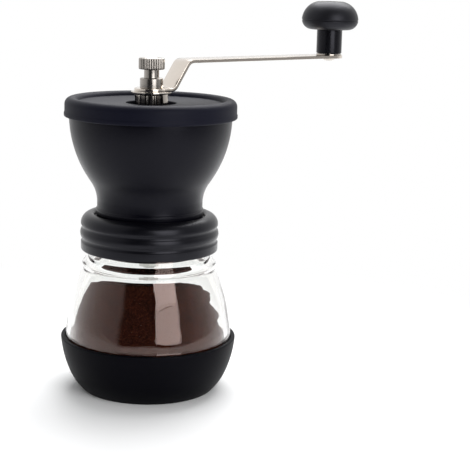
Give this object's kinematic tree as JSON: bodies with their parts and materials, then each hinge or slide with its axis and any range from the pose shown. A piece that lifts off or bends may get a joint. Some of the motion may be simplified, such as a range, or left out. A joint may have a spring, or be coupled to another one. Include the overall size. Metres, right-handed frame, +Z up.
{
  "type": "hand crank coffee grinder",
  "caption": "Hand crank coffee grinder: lidded black hopper with ceramic conical burrs over a clear glass jar in a silicone boot, turned by a joggled steel crank with a mushroom knob.",
  "frame": {"origin": "centre of the boot's flat underside, on the surface that the grinder stands on", "axes": "+Z up along the drive shaft; +X from the shaft along the crank arm to the knob; +Y to the left of the arm"},
  "size_m": [0.172, 0.093, 0.2051],
  "materials": {
    "silicone": "matte bluish-black silicone with a soft sheen",
    "hopper_plastic": "satin black moulded plastic with a fine grain",
    "clear_glass": "clear pressed glass",
    "seal_silicone": "translucent white silicone",
    "polished_steel": "polished stainless steel with a warm tint",
    "brushed_steel": "plain turned stainless steel",
    "burr_ceramic": "white fired ceramic",
    "holder_plastic": "black moulded plastic",
    "bush_nylon": "natural nylon",
    "knob_plastic": "soft-touch black plastic",
    "sleeve_plastic": "smooth black plastic"
  },
  "bodies": {
    "jar": {"base_boot": "silicone", "glass_jar": "clear_glass"},
    "seal": {"jar_seal": "seal_silicone"},
    "head": {"collar": "hopper_plastic", "body_screws": "brushed_steel", "hopper": "hopper_plastic", "shaft_support": "hopper_plastic", "upper_bush": "bush_nylon", "lower_bush": "bush_nylon"},
    "lid": {"hopper_lid": "silicone"},
    "burr_ring": {"burr_holder": "holder_plastic", "outer_burr": "burr_ceramic"},
    "adjuster": {"adjusting_nut": "polished_steel"},
    "shaft": {"drive_shaft": "brushed_steel", "inner_burr": "burr_ceramic", "burr_core": "bush_nylon", "spring_washer": "brushed_steel", "burr_spring": "brushed_steel", "burr_washer": "brushed_steel", "burr_nut": "brushed_steel", "stop_plate": "polished_steel", "crank_arm": "polished_steel", "thumb_nut": "polished_steel", "knob_pin": "brushed_steel", "knob_washer": "brushed_steel"},
    "knob": {"knob_sleeve": "sleeve_plastic", "knob_head": "knob_plastic"}
  },
  "joints": [
    {"name": "head_rise", "type": "slide", "parent": "jar", "child": "seal", "axis": [0, 0, 1], "range_m": [0, 0.0091]},
    {"name": "head_unscrew", "type": "hinge", "parent": "seal", "child": "head", "pos_m": [0, 0, 0.088], "axis": [0, 0, 1], "range_deg": [0, 540]},
    {"name": "lid_lift", "type": "slide", "parent": "head", "child": "lid", "axis": [0, 0, 1], "range_m": [0, 0.005]},
    {"name": "burr_ring_twist", "type": "hinge", "parent": "head", "child": "burr_ring", "pos_m": [0, 0, 0.08], "axis": [0, 0, 1], "range_deg": [0, 45]},
    {"name": "crank_turn", "type": "hinge", "parent": "head", "child": "adjuster", "pos_m": [0, 0, 0.1475], "axis": [0, 0, 1], "continuous": true},
    {"name": "grind_adjust", "type": "slide", "parent": "adjuster", "child": "shaft", "axis": [0, 0, 1], "range_m": [0, 0.0012], "deforming": ["burr_spring"]},
    {"name": "knob_spin", "type": "hinge", "parent": "shaft", "child": "knob", "pos_m": [0.11, 0, 0.19], "axis": [0, 0, 1], "continuous": true}
  ],
  "couplings": [
    {"joint": "head_rise", "follows": "head_unscrew", "m_per_rad": 0.00095493}
  ]
}
